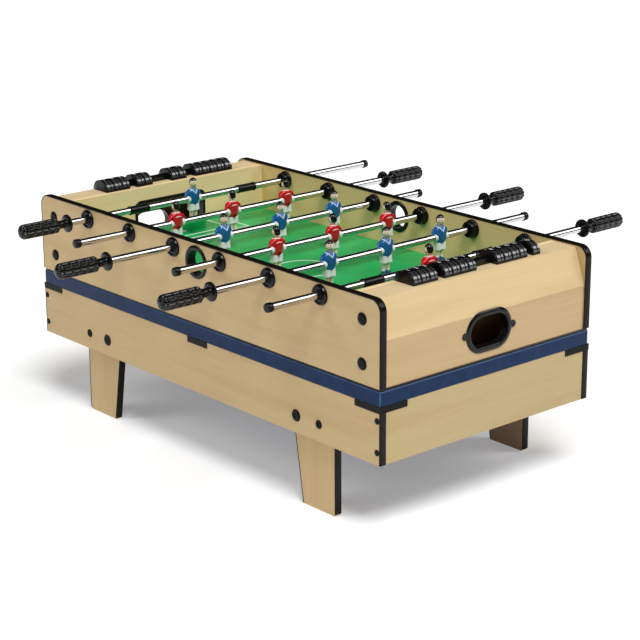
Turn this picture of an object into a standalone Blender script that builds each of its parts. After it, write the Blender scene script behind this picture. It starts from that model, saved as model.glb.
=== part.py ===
"""Small free-standing foosball table on a shallow base box with four board legs.

Frame: metres, +X along the table, +Y across it, +Z up. The origin is on the floor under the
middle of the table. Blue plays towards +X. Rods 1, 3 and 5 have their handles on the -Y side,
rods 2, 4 and 6 on the +Y side. Near means -Y, far means +Y, left means -X, right means +X.
"""

import math

import bmesh
import bpy

# Cabinet
LENGTH = 0.870
WIDTH = 0.448
BOARD = 0.012
GAP = 0.0003
LEG_DROP = 0.118
BASE_HEIGHT = 0.0905
MIDDLE_THICK = 0.0230
MIDDLE_OUTSET = 0.0006
MIDDLE_CORNER = 0.006
PLINTH_HEIGHT = 0.004
PLINTH_INSET = 0.005
TOP_HEIGHT = 0.133
SIDE_CORNER = 0.019

# Ends of the top box
END_RECESS = 0.0025
SLOPE_START = 0.071
SHELF_DROP = 0.003
SLOPE_RUN = 0.0205
PLAY_HALF_LENGTH = 0.361
FIELD_TOP = 0.0485
FIELD_THICK = 0.005
MOUTH_HALF_WIDTH = 0.074
MOUTH_HEIGHT = 0.055
RETURN_DROP = 0.0905
RETURN_WIDTH = 0.086
RETURN_HEIGHT = 0.054

# Legs
LEG_TOP_REACH = 0.082
LEG_OUTER_X = 0.3235
LEG_INNER_TOP_X = 0.2305
LEG_INNER_FOOT_X = 0.2490
LEG_FOOT_CHAMFER = 0.003

# Rods, with the whole row and the serving holes a little towards the right goal
ROW_SHIFT = 0.0070
ROD_PITCH = 0.1194
ROD_DROP = 0.0185
ROD_RADIUS = 0.0060
TUBE_WALL = 0.0011
ROD_STEPS = 16
RUNNING_GAP = 0.0004
SERVING_DROP = 0.0317
SERVING_RADIUS = 0.021
ROD_LENGTH = 0.770
MAN_PITCH = 0.1196
TIP_TO_MIDDLE_MAN = 0.446
CAP_RADIUS = 0.0073
CAP_LENGTH = 0.010
STOP_RADIUS = 0.0075
STOP_LENGTH = 0.039
STOP_OFFSET = 0.118

# Handle, measured from its tip
GRIP_RADIUS = 0.0128
GRIP_END = 0.0755
NECK_RADIUS = 0.0075
COLLAR_RADIUS = 0.0152
COLLAR_BACK = 0.0915
HANDLE_LENGTH = 0.0965
SOCKET_DEPTH = 0.062

# Bearing
FLANGE_RADIUS = 0.0165
FLANGE_DEPTH = 0.0060
FLANGE_FRONT_RADIUS = 0.0090
FLANGE_RIM = 0.0025
BUSH_RADIUS = 0.0110
CUP_RADIUS = 0.0158
CUP_FRONT_RADIUS = 0.0139
CUP_DEPTH = 0.0124
CUP_RIM = 0.0040

# Playing figure, heights above and below the rod's axis
MAN_HEAD_TOP = 0.037
MAN_FOOT = 0.039
BOSS_RADIUS = 0.0085
BOSS_HALF = 0.0160

# Score counters
RAIL_WIDTH = 0.014
RAIL_HEIGHT = 0.009
BEAD_WIDTH = 0.042
BEAD_HEIGHT = 0.019
BEAD_PITCH = 0.017

# Levels above the floor
BASE_TOP = LEG_DROP + BASE_HEIGHT
MIDDLE_TOP = BASE_TOP + MIDDLE_THICK
TOP_BOTTOM = MIDDLE_TOP + PLINTH_HEIGHT
TABLE_TOP = TOP_BOTTOM + TOP_HEIGHT
FIELD_LEVEL = TOP_BOTTOM + FIELD_TOP
SHELF_LEVEL = TABLE_TOP - SHELF_DROP
ROD_LEVEL = TABLE_TOP - ROD_DROP
RETURN_LEVEL = TABLE_TOP - RETURN_DROP
SERVING_LEVEL = TABLE_TOP - SERVING_DROP

# Places across the table
INNER_HALF_WIDTH = WIDTH / 2 - BOARD
FITTED_HALF_WIDTH = INNER_HALF_WIDTH - GAP

# Each rod: team, handle side along Y, places of its men along Y, tip of the handle to mid man
RODS = [
    {"team": "blue", "side": -1, "middle": -0.0016, "men": 1, "reach": 0.359},
    {"team": "red", "side": 1, "middle": -0.0086, "men": 3, "reach": TIP_TO_MIDDLE_MAN},
    {"team": "blue", "side": -1, "middle": -0.0015, "men": 3, "reach": TIP_TO_MIDDLE_MAN},
    {"team": "red", "side": 1, "middle": 0.0110, "men": 3, "reach": TIP_TO_MIDDLE_MAN},
    {"team": "blue", "side": -1, "middle": 0.0172, "men": 3, "reach": TIP_TO_MIDDLE_MAN},
    {"team": "red", "side": 1, "middle": -0.0034, "men": 1, "reach": TIP_TO_MIDDLE_MAN},
]

# Each counter: place along X, and the groups of beads as (first edge along Y, beads, slides)
COUNTERS = {
    "left": {
        "x": -0.391,
        "groups": [(-0.130, 3, False), (-0.064, 2, False), (0.0115, 2, True), (0.0645, 5, False)],
    },
    "right": {
        "x": 0.384,
        "groups": [(-0.131, 3, False), (-0.0675, 4, True), (0.0430, 4, False), (0.1225, 1, False)],
    },
}
RAIL_ENDS = (-0.134, 0.153)

COLOURS = {
    "maple": ((0.62, 0.44, 0.24), 0.45, 0.0),
    "navy": ((0.03, 0.05, 0.12), 0.40, 0.0),
    "field": ((0.05, 0.40, 0.10), 0.35, 0.0),
    "black": ((0.012, 0.012, 0.013), 0.35, 0.0),
    "chrome": ((0.72, 0.72, 0.74), 0.12, 1.0),
    "blue": ((0.03, 0.13, 0.42), 0.35, 0.0),
    "red": ((0.62, 0.02, 0.03), 0.35, 0.0),
}

FACING_X = (math.pi / 2, 0.0, math.pi / 2)
FACING_Y = (math.pi / 2, 0.0, 0.0)


def clear_scene():
    for obj in list(bpy.data.objects):
        bpy.data.objects.remove(obj, do_unlink=True)


def new_collection(name):
    collection = bpy.data.collections.new(name)
    bpy.context.scene.collection.children.link(collection)
    return collection


def paint(obj, colour):
    """A material of the object's own, in a slot that belongs to the object and not its mesh."""
    base, roughness, metallic = COLOURS[colour]
    material = bpy.data.materials.new(f"{obj.name}_{colour}")
    material.use_nodes = True
    shader = material.node_tree.nodes["Principled BSDF"]
    shader.inputs["Base Color"].default_value = (*base, 1.0)
    shader.inputs["Roughness"].default_value = roughness
    shader.inputs["Metallic"].default_value = metallic
    if not obj.material_slots:
        obj.data.materials.append(None)
    obj.material_slots[0].link = "OBJECT"
    obj.material_slots[0].material = material


def place(name, data, location=(0, 0, 0), rotation=(0, 0, 0)):
    obj = bpy.data.objects.new(name, data)
    TABLE.objects.link(obj)
    obj.location = location
    obj.rotation_euler = rotation
    return obj


def smooth(obj, angle=35):
    obj.data.shade_smooth()
    obj.data.set_sharp_from_angle(angle=math.radians(angle))


def as_cutter(obj):
    TABLE.objects.unlink(obj)
    CUTTERS.objects.link(obj)
    obj.display_type = "WIRE"
    obj.hide_render = True
    return obj


def combine(obj, others, operation):
    for other in others:
        modifier = obj.modifiers.new(f"{operation.lower()}_{other.name}", "BOOLEAN")
        modifier.operation = operation
        modifier.object = as_cutter(other)


def board(name, low, high, colour="maple"):
    """A rectangular board between two corners."""
    mesh = bpy.data.meshes.new(name)
    shape = bmesh.new()
    bmesh.ops.create_cube(shape, size=1.0)
    size = [b - a for a, b in zip(low, high)]
    bmesh.ops.scale(shape, vec=size, verts=shape.verts)
    shape.to_mesh(mesh)
    shape.free()
    obj = place(name, mesh, [(a + b) / 2 for a, b in zip(low, high)])
    paint(obj, colour)
    return obj


def arc(centre, radius, start, end, steps):
    """Points of an arc, angles in degrees, both ends included."""
    angles = [math.radians(start + (end - start) * i / steps) for i in range(steps + 1)]
    return [(centre[0] + radius * math.cos(a), centre[1] + radius * math.sin(a)) for a in angles]


def circle(centre, radius, steps):
    return arc(centre, radius, 0, 360, steps)[:-1]


def stadium(centre, width, height, steps=8):
    """An outline with straight top and bottom and half-round ends."""
    straight = (width - height) / 2
    right = arc((centre[0] + straight, centre[1]), height / 2, -90, 90, steps)
    left = arc((centre[0] - straight, centre[1]), height / 2, 90, 270, steps)
    return right + left


def rounded_rectangle(half_x, half_y, radius, steps=4):
    points = []
    for sign_x, sign_y, start in ((1, 1, 0), (-1, 1, 90), (-1, -1, 180), (1, -1, 270)):
        centre = (sign_x * (half_x - radius), sign_y * (half_y - radius))
        points += arc(centre, radius, start, start + 90, steps)
    return points


def flat(name, outlines, thickness, location, rotation, colour):
    """A flat piece cut from a board: the first outline is its edge, the others are holes."""
    curve = bpy.data.curves.new(name, "CURVE")
    curve.dimensions = "2D"
    curve.fill_mode = "BOTH"
    curve.extrude = thickness / 2
    for outline in outlines:
        spline = curve.splines.new("POLY")
        spline.points.add(len(outline) - 1)
        spline.use_cyclic_u = True
        for point, (u, v) in zip(spline.points, outline):
            point.co = (u, v, 0.0, 1.0)
    obj = place(name, curve, location, rotation)
    paint(obj, colour)
    return obj


def as_mesh(obj, colour):
    """The same piece as a welded mesh, so that a Boolean can work on it."""
    bpy.context.view_layer.update()
    graph = bpy.context.evaluated_depsgraph_get()
    mesh = bpy.data.meshes.new_from_object(obj.evaluated_get(graph))
    shape = bmesh.new()
    shape.from_mesh(mesh)
    bmesh.ops.remove_doubles(shape, verts=shape.verts, dist=1e-6)
    bmesh.ops.recalc_face_normals(shape, faces=shape.faces)
    shape.to_mesh(mesh)
    shape.free()
    mesh.materials.clear()
    name, matrix = obj.name, obj.matrix_world.copy()
    bpy.data.objects.remove(obj, do_unlink=True)
    solid = place(name, mesh)
    solid.matrix_world = matrix
    paint(solid, colour)
    return solid


def turned(name, profile, colour, location=(0, 0, 0), side=1, closed=False):
    """A turned piece on a Y axis. The profile holds (radius, distance towards side), and runs
    down its outer side."""
    mesh = bpy.data.meshes.new(name)
    shape = bmesh.new()
    verts = [shape.verts.new((radius, 0.0, height)) for radius, height in profile]
    for first, second in zip(verts, verts[1:]):
        shape.edges.new((first, second))
    if closed:
        shape.edges.new((verts[-1], verts[0]))
    shape.to_mesh(mesh)
    shape.free()
    obj = place(name, mesh, location, (-side * math.pi / 2, 0.0, 0.0))
    screw = obj.modifiers.new("turn", "SCREW")
    screw.steps = ROD_STEPS
    screw.render_steps = ROD_STEPS
    screw.use_merge_vertices = True
    screw.merge_threshold = 1e-6
    screw.use_smooth_shade = True
    paint(obj, colour)
    return obj


def rod_x(number):
    return ROW_SHIFT + (number - 3.5) * ROD_PITCH


# Base box, legs and middle board


def base_box():
    half = LENGTH / 2
    for side, sign in (("near", -1), ("far", 1)):
        edges = sorted((sign * WIDTH / 2, sign * INNER_HALF_WIDTH))
        board(f"base_side_{side}", (-half, edges[0], LEG_DROP), (half, edges[1], BASE_TOP))
    for end, sign in (("left", -1), ("right", 1)):
        edges = sorted((sign * (half - GAP), sign * (half - BOARD)))
        low = (edges[0], -FITTED_HALF_WIDTH, LEG_DROP)
        board(f"base_end_{end}", low, (edges[1], FITTED_HALF_WIDTH, BASE_TOP))


def leg(end, side):
    """One leg, upright towards the table's end and tapered towards its middle."""
    sign = -1 if end == "left" else 1
    top = LEG_DROP + LEG_TOP_REACH
    outline = [
        (sign * LEG_OUTER_X, top),
        (sign * LEG_INNER_TOP_X, top),
        (sign * LEG_INNER_TOP_X, LEG_DROP),
        (sign * LEG_INNER_FOOT_X, 0.0),
        (sign * (LEG_OUTER_X - LEG_FOOT_CHAMFER), 0.0),
        (sign * LEG_OUTER_X, LEG_FOOT_CHAMFER),
    ]
    across = (FITTED_HALF_WIDTH - BOARD / 2) * (-1 if side == "near" else 1)
    flat(f"leg_{side}_{end}", [outline], BOARD, (0, across, 0), FACING_Y, "maple")


def middle_board():
    half_x = LENGTH / 2 + MIDDLE_OUTSET
    half_y = WIDTH / 2 + MIDDLE_OUTSET
    thick = MIDDLE_THICK - GAP
    outline = rounded_rectangle(half_x, half_y, MIDDLE_CORNER)
    middle = (0, 0, MIDDLE_TOP - thick / 2)
    slab = as_mesh(flat("middle_board", [outline], thick, middle, (0, 0, 0), "navy"), "navy")
    low = (-half_x + PLINTH_INSET, -half_y + PLINTH_INSET, MIDDLE_TOP - thick / 2)
    plinth = board("plinth", low, (-low[0], -low[1], TOP_BOTTOM - GAP), "black")
    combine(slab, [plinth], "UNION")


# Top box


def top_side(side):
    """Long panel of the top box, with its bearing holes and the serving hole."""
    half = LENGTH / 2
    corner = (half - SIDE_CORNER, TABLE_TOP - SIDE_CORNER)
    outline = [(-half, TOP_BOTTOM), (half, TOP_BOTTOM)]
    outline += arc(corner, SIDE_CORNER, 0, 90, 6)
    outline += arc((-corner[0], corner[1]), SIDE_CORNER, 90, 180, 6)
    clear = BUSH_RADIUS + RUNNING_GAP
    holes = [circle((rod_x(n), ROD_LEVEL), clear, ROD_STEPS) for n in range(1, len(RODS) + 1)]
    holes.append(circle((ROW_SHIFT, SERVING_LEVEL), SERVING_RADIUS, 24))
    across = (WIDTH - BOARD) / 2 * (-1 if side == "near" else 1)
    flat(f"top_side_{side}", [outline, *holes], BOARD, (0, across, 0), FACING_Y, "maple")


def offset_inwards(points, distance):
    """The same open outline moved to its left by a distance, with mitred corners."""
    lines = []
    for (ax, ay), (bx, by) in zip(points, points[1:]):
        length = math.hypot(bx - ax, by - ay)
        nx, ny = -(by - ay) / length * distance, (bx - ax) / length * distance
        lines.append(((ax + nx, ay + ny), (bx + nx, by + ny)))
    moved = [lines[0][0]]
    for (p, q), (r, s) in zip(lines, lines[1:]):
        ux, uy, vx, vy = q[0] - p[0], q[1] - p[1], s[0] - r[0], s[1] - r[1]
        k = ((r[0] - p[0]) * vy - (r[1] - p[1]) * vx) / (ux * vy - uy * vx)
        moved.append((p[0] + k * ux, p[1] + k * uy))
    return moved + [lines[-1][1]]


def end_cover(end):
    """Upright board, sloped board and shelf of one end, as one bent cover."""
    sign = -1 if end == "left" else 1
    face = LENGTH / 2 - END_RECESS
    outer = [
        (face, TOP_BOTTOM),
        (face, TOP_BOTTOM + SLOPE_START),
        (face - SLOPE_RUN, SHELF_LEVEL),
        (PLAY_HALF_LENGTH + BOARD + GAP, SHELF_LEVEL),
    ]
    inner = offset_inwards(outer, BOARD)
    outline = [(sign * x, z) for x, z in outer + inner[::-1]]
    name = f"end_cover_{end}"
    long_way = 2 * FITTED_HALF_WIDTH
    cover = as_mesh(flat(name, [outline], long_way, (0, 0, 0), FACING_Y, "maple"), "maple")
    hole = [stadium((0, RETURN_LEVEL), RETURN_WIDTH, RETURN_HEIGHT)]
    place_x = (sign * (face - BOARD / 2), 0, 0)
    cutter = flat(f"return_cut_{end}", hole, 3 * BOARD, place_x, FACING_X, "black")
    combine(cover, [as_mesh(cutter, "black")], "DIFFERENCE")


def return_ring(end):
    """Stadium-shaped ring: a flange on the end cover, and a liner through its hole."""
    sign = -1 if end == "left" else 1
    face = LENGTH / 2 - END_RECESS + GAP
    flange, liner, rim = 0.003, BOARD - GAP, 0.0030
    middle = (0, RETURN_LEVEL)
    opening = stadium(middle, RETURN_WIDTH - 2 * rim, RETURN_HEIGHT - 2 * rim)
    outer = stadium(middle, RETURN_WIDTH + 0.012, RETURN_HEIGHT + 0.012)
    tube = stadium(middle, RETURN_WIDTH - 2 * GAP, RETURN_HEIGHT - 2 * GAP)
    at_flange = (sign * (face + flange / 2), 0, 0)
    at_liner = (sign * (face - liner / 2 + flange / 2), 0, 0)
    ring = flat(f"return_ring_{end}", [outer, opening], flange, at_flange, FACING_X, "black")
    ring = as_mesh(ring, "black")
    lip = flat(f"liner_{end}", [tube, opening], liner + flange, at_liner, FACING_X, "black")
    combine(ring, [as_mesh(lip, "black")], "UNION")


def goal_wall(end):
    sign = -1 if end == "left" else 1
    half = FITTED_HALF_WIDTH
    low = TOP_BOTTOM + GAP
    edge = [(-half, low), (half, low), (half, SHELF_LEVEL), (-half, SHELF_LEVEL)]
    mouth_top = FIELD_LEVEL + MOUTH_HEIGHT
    mouth = [
        (-MOUTH_HALF_WIDTH, FIELD_LEVEL),
        (MOUTH_HALF_WIDTH, FIELD_LEVEL),
        (MOUTH_HALF_WIDTH, mouth_top),
        (-MOUTH_HALF_WIDTH, mouth_top),
    ]
    at = (sign * (PLAY_HALF_LENGTH + BOARD / 2), 0, 0)
    flat(f"goal_wall_{end}", [edge, mouth], BOARD, at, FACING_X, "maple")


def play_field():
    half = PLAY_HALF_LENGTH - GAP
    low = (-half, -FITTED_HALF_WIDTH, FIELD_LEVEL - FIELD_THICK)
    board("play_field", low, (half, FITTED_HALF_WIDTH, FIELD_LEVEL), "field")


# Score counters


def bead_section():
    """Cross-section of a bead: a half-round top on short upright skirts, notched for the rail."""
    half, notch = BEAD_WIDTH / 2, RAIL_WIDTH / 2 + GAP
    skirt, roof = 0.005, RAIL_HEIGHT + GAP
    rise = BEAD_HEIGHT - skirt
    angles = [math.radians(180 * i / 8) for i in range(9)]
    crown = [(half * math.cos(a), skirt + rise * math.sin(a)) for a in angles]
    foot = [(-half, GAP), (-notch, GAP), (-notch, roof), (notch, roof), (notch, GAP), (half, GAP)]
    return crown + foot


def bead_block(name, x, first_edge, beads):
    """A row of touching beads, as one block along Y."""
    length = beads * BEAD_PITCH
    at = (x, first_edge + length / 2, SHELF_LEVEL)
    return flat(name, [bead_section()], length, at, FACING_Y, "black")


def counter(end):
    """The rail with its parked beads, and the block of beads that is free to slide."""
    x = COUNTERS[end]["x"]
    half, low, high = RAIL_WIDTH / 2, SHELF_LEVEL + GAP, SHELF_LEVEL + RAIL_HEIGHT
    rail_low = (x - half, RAIL_ENDS[0], low)
    rail = board(f"score_rail_{end}", rail_low, (x + half, RAIL_ENDS[1], high), "black")
    parked = []
    for number, (first_edge, beads, slides) in enumerate(COUNTERS[end]["groups"], 1):
        if slides:
            bead_block(f"score_beads_{end}", x, first_edge, beads)
            continue
        block = as_mesh(bead_block(f"beads_{end}_{number}", x, first_edge, beads), "black")
        seat_low = (x - half, first_edge, SHELF_LEVEL + RAIL_HEIGHT - GAP)
        seat_high = (x + half, first_edge + beads * BEAD_PITCH, SHELF_LEVEL + RAIL_HEIGHT + 2 * GAP)
        parked += [block, board(f"seat_{end}_{number}", seat_low, seat_high, "black")]
    combine(rail, parked, "UNION")


# Rods, handles, bearings and figures


def rod(number, spec):
    """Hollow rod with its end cap, and on a keeper's rod the two stop sleeves."""
    tip = spec["side"] * spec["middle"] + spec["reach"]
    start = tip - (HANDLE_LENGTH - SOCKET_DEPTH) - 0.001
    end = tip - ROD_LENGTH
    bore, floor = ROD_RADIUS - TUBE_WALL, end + CAP_LENGTH / 2
    profile = [(0, floor), (bore, floor), (bore, start), (ROD_RADIUS, start)]
    if spec["men"] == 1:
        for offset in (STOP_OFFSET, -STOP_OFFSET):
            centre = spec["side"] * spec["middle"] + offset
            near, far = centre + STOP_LENGTH / 2, centre - STOP_LENGTH / 2
            profile += [(ROD_RADIUS, near), (STOP_RADIUS, near), (STOP_RADIUS, far)]
            profile += [(ROD_RADIUS, far)]
    shoulder = end + CAP_LENGTH
    profile += [(ROD_RADIUS, shoulder), (CAP_RADIUS, shoulder)]
    profile += [(CAP_RADIUS, end + 0.001), (CAP_RADIUS - 0.001, end), (0, end)]
    location = (rod_x(number), 0, ROD_LEVEL)
    turned(f"rod_{number}", profile, "chrome", location, spec["side"])


def handle(number, spec):
    """Grip, neck and collar, with a blind socket for the rod."""
    bore = ROD_RADIUS + RUNNING_GAP
    tip = spec["side"] * spec["middle"] + spec["reach"]
    from_tip = [
        (0.0, 0.0),
        (0.0060, 0.0006),
        (0.0105, 0.0040),
        (GRIP_RADIUS, 0.0100),
        (GRIP_RADIUS, GRIP_END - 0.0060),
        (NECK_RADIUS + 0.0015, GRIP_END),
        (NECK_RADIUS, GRIP_END + 0.0030),
        (NECK_RADIUS, COLLAR_BACK - 0.0020),
        (COLLAR_RADIUS, COLLAR_BACK + 0.0005),
        (COLLAR_RADIUS, HANDLE_LENGTH - 0.0020),
        (COLLAR_RADIUS - 0.0020, HANDLE_LENGTH),
        (bore, HANDLE_LENGTH),
        (bore, HANDLE_LENGTH - SOCKET_DEPTH),
        (0.0, HANDLE_LENGTH - SOCKET_DEPTH),
    ]
    profile = [(radius, tip - distance) for radius, distance in from_tip]
    location = (rod_x(number), 0, ROD_LEVEL)
    turned(f"handle_{number}", profile, "black", location, spec["side"])


def bearing(number, side):
    """Outer flange, bush through the long panel, and tapered cup inside."""
    bore = ROD_RADIUS + RUNNING_GAP
    outer_face, inner_face = WIDTH / 2 + GAP, INNER_HALF_WIDTH - GAP
    profile = [
        (FLANGE_FRONT_RADIUS, outer_face + FLANGE_DEPTH),
        (FLANGE_RADIUS, outer_face + FLANGE_RIM),
        (FLANGE_RADIUS, outer_face),
        (BUSH_RADIUS, outer_face),
        (BUSH_RADIUS, inner_face),
        (CUP_RADIUS, inner_face),
        (CUP_RADIUS, inner_face - CUP_RIM),
        (CUP_FRONT_RADIUS, inner_face - CUP_DEPTH),
        (bore, inner_face - CUP_DEPTH),
        (bore, outer_face + FLANGE_DEPTH),
    ]
    sign = -1 if side == "near" else 1
    location = (rod_x(number), 0, ROD_LEVEL)
    turned(f"bearing_{number}_{side}", profile, "black", location, sign, closed=True)


def block(name, low, high, top_scale=(1.0, 1.0)):
    """A box whose top face is scaled about its own middle."""
    obj = board(name, low, high)
    for vert in obj.data.vertices:
        if vert.co.z > 0:
            vert.co.x *= top_scale[0]
            vert.co.y *= top_scale[1]
    return obj


def man_mesh():
    """One figure facing +X, with its rod's axis through the origin, as a shared mesh."""
    torso = block("man", (-0.0065, -0.0125, -0.011), (0.0075, 0.0125, 0.0165), (0.85, 0.80))
    bevel = torso.modifiers.new("round", "BEVEL")
    bevel.width = 0.003
    boss = [(0, BOSS_HALF), (BOSS_RADIUS, BOSS_HALF), (BOSS_RADIUS, -BOSS_HALF), (0, -BOSS_HALF)]
    bore = [(ROD_RADIUS + RUNNING_GAP, 0.03), (ROD_RADIUS + RUNNING_GAP, -0.03)]
    bore = [(0, 0.03), *bore, (0, -0.03)]
    neck = block("man_neck", (-0.0032, -0.0032, 0.0150), (0.0032, 0.0032, 0.0230))
    head = bpy.data.meshes.new("man_head")
    shape = bmesh.new()
    bmesh.ops.create_icosphere(shape, subdivisions=1, radius=1.0)
    half_head = (MAN_HEAD_TOP - 0.0195) / 2
    bmesh.ops.scale(shape, vec=(0.0072, 0.0066, half_head), verts=shape.verts)
    shape.to_mesh(head)
    shape.free()
    head = place("man_head", head, (0.0008, 0, MAN_HEAD_TOP - half_head))
    legs = block("man_legs", (-0.0045, -0.0070, -0.0350), (0.0045, 0.0070, -0.0090), (1.3, 1.35))
    feet = block("man_feet", (-0.0050, -0.0078, -MAN_FOOT), (0.0080, 0.0078, -0.0335), (0.8, 0.95))
    parts = [turned("man_boss", boss, "black"), neck, head, legs, feet]
    combine(torso, parts, "UNION")
    combine(torso, [turned("man_bore", bore, "black")], "DIFFERENCE")
    solid = as_mesh(torso, "black")
    smooth(solid)
    mesh = solid.data
    mesh.transform(solid.matrix_world)
    bpy.data.objects.remove(solid, do_unlink=True)
    mesh.name = "figure"
    return mesh


def figures(number, spec, mesh):
    turn = 0.0 if spec["team"] == "blue" else math.pi
    offsets = [0.0] if spec["men"] == 1 else [-MAN_PITCH, 0.0, MAN_PITCH]
    names = ["keeper"] if spec["men"] == 1 else ["near", "middle", "far"]
    for name, offset in zip(names, offsets):
        at = (rod_x(number), spec["middle"] + offset, ROD_LEVEL)
        man = place(f"man_{number}_{name}", mesh, at, (0, 0, turn))
        paint(man, spec["team"])


def build():
    base_box()
    middle_board()
    play_field()
    for end in ("left", "right"):
        for side in ("near", "far"):
            leg(end, side)
        end_cover(end)
        return_ring(end)
        goal_wall(end)
        counter(end)
    for side in ("near", "far"):
        top_side(side)
    mesh = man_mesh()
    for number, spec in enumerate(RODS, 1):
        rod(number, spec)
        handle(number, spec)
        bearing(number, "near")
        bearing(number, "far")
        figures(number, spec, mesh)


clear_scene()
TABLE = new_collection("foosball_table")
CUTTERS = new_collection("cutters")
build()
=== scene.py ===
"""Looks of the small foosball table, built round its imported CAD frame.

Frame: metres, +X along the table from the blue goal to the red goal, +Y across it, +Z up, floor at
zero. Near means -Y, far means +Y, left means -X, right means +X. Tables of small sizes are in
millimetres and say so; places come from the CAD nodes.
"""

import math

import bmesh
import bpy
from mathutils import Matrix, Vector


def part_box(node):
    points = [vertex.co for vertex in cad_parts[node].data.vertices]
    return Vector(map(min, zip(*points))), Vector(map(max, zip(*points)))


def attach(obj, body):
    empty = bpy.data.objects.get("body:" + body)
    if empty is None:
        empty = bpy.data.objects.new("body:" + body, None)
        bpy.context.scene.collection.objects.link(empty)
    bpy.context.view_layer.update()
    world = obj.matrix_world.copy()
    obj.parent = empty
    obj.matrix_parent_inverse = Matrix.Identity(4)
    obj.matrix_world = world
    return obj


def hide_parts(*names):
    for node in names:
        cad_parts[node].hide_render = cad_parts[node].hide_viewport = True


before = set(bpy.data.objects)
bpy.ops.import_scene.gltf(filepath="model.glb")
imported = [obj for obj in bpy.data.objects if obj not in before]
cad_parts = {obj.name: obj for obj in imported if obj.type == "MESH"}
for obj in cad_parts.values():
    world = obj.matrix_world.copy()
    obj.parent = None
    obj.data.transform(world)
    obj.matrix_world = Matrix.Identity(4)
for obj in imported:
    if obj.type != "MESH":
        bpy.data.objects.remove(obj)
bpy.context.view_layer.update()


def middle_of(node):
    low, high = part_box(node)
    return (low + high) / 2


MM = 0.001
X, Y, Z = Vector((1, 0, 0)), Vector((0, 1, 0)), Vector((0, 0, 1))
SMOOTH_ANGLE = math.radians(38)
RODS = range(1, 7)
SIDES = {"near": -1, "far": 1}
ENDS = {"left": -1, "right": 1}
BLUE_RODS = (1, 3, 5)

# Levels and places read from the CAD nodes
BASE_LOW, BASE_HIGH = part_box("base_side_near")
TOP_LOW, TOP_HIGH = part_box("top_side_near")
BAND_LOW, BAND_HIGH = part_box("middle_board")
FIELD_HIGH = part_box("play_field")[1]
COVER_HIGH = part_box("end_cover_right")[1]
WALL_LOW, WALL_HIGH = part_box("goal_wall_right")
RING_LEVEL = middle_of("return_ring_right").z
BOARD = TOP_HIGH.y - TOP_LOW.y
HALF_LENGTH = TOP_HIGH.x
HALF_WIDTH = -TOP_LOW.y
SHELF = COVER_HIGH.z

# Black edging
EDGING_PROUD = 0.0007
EDGING_LAP = 0.0003
EDGING_DEPTH = 0.0014
SIDE_CORNER = 0.019

# Middle board
BAND_HEIGHT = 0.0227
BAND_CORNER = 0.006
BAND_BEVEL = 0.0011
STRIP_INSET = 0.0020

# Holes in the boards
SERVING_RADIUS = 0.021
SERVING_DROP = 0.0317
MOUTH_HALF_WIDTH = 0.074
MOUTH_HEIGHT = 0.055
RETURN_OPENING = (0.080, 0.048)

# Figure proportions, millimetres, with the rod's axis at zero and the figure facing +X. Each row is
# (height, half width across, half depth, forward shift).
SHIRT = [
    (-10.4, 7.6, 4.8, 0.2), (-10.0, 8.6, 5.6, 0.2), (-6.0, 9.6, 6.3, 0.3), (0.0, 10.8, 7.2, 0.4),
    (5.0, 11.7, 7.7, 0.5), (9.5, 12.3, 7.7, 0.5), (12.8, 12.3, 7.0, 0.3), (15.0, 11.2, 6.2, 0.1),
    (16.7, 9.0, 5.5, 0.0), (18.0, 6.6, 4.9, 0.0), (18.9, 4.6, 4.3, 0.0),
]
SHORT_LEG = [
    (-8.8, 5.3, 5.5, 0.2), (-13.0, 5.4, 5.8, 0.2), (-17.0, 5.5, 6.0, 0.3), (-20.2, 5.7, 6.2, 0.4),
    (-20.6, 5.1, 5.6, 0.4),
]
LEG = [
    (-19.0, 3.4, 3.7, 0.2), (-23.0, 3.2, 3.5, 0.1), (-27.0, 3.3, 3.5, -0.3), (-31.0, 2.8, 3.0, -0.5),
    (-34.6, 2.6, 2.8, -0.5),
]
SOCK = [
    (-31.9, 2.8, 3.0, -0.5), (-32.2, 3.2, 3.4, -0.5), (-34.4, 3.2, 3.4, -0.5), (-34.9, 2.9, 3.1, -0.5),
]
SHOE = [
    (-39.0, 3.0, 5.2, 1.2), (-38.6, 3.4, 5.8, 1.3), (-37.2, 3.6, 5.9, 1.3), (-35.9, 3.4, 4.7, 0.6),
    (-34.6, 3.2, 3.5, -0.4), (-34.2, 2.9, 3.1, -0.5),
]
SHORT_LEG_SPREAD = 5.0
LEG_SPREAD = 4.6
SHOE_SPREAD = 4.3
HEAD_CENTRE = (0.9, 27.8)
HEAD_HALF = (7.2, 6.5, 9.0)

# Collar corners on one half of the neck, as (forward, across), and how finely its edges are cut
COLLAR = [(-5.0, 0.0), (-3.8, 4.8), (0.0, 7.4), (4.0, 6.4), (6.5, 3.7)]
COLLAR_POINT = (8.05, 0.0)
COLLAR_STEPS = 4
SHIRT_POWER = 2.7
ARM = [(0.0, 8.6, 14.3), (0.1, 11.2, 12.6), (0.3, 12.6, 8.6), (0.5, 12.8, 3.4)]
CUFF = [(0.5, 12.75, 4.3), (0.55, 12.8, 3.1)]
BACK_BAND = [(-6.3, -6.0, 10.9), (-6.75, -3.0, 11.6), (-6.85, 0, 11.8), (-6.75, 3.0, 11.6), (-6.3, 6.0, 10.9)]


# Materials


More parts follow.
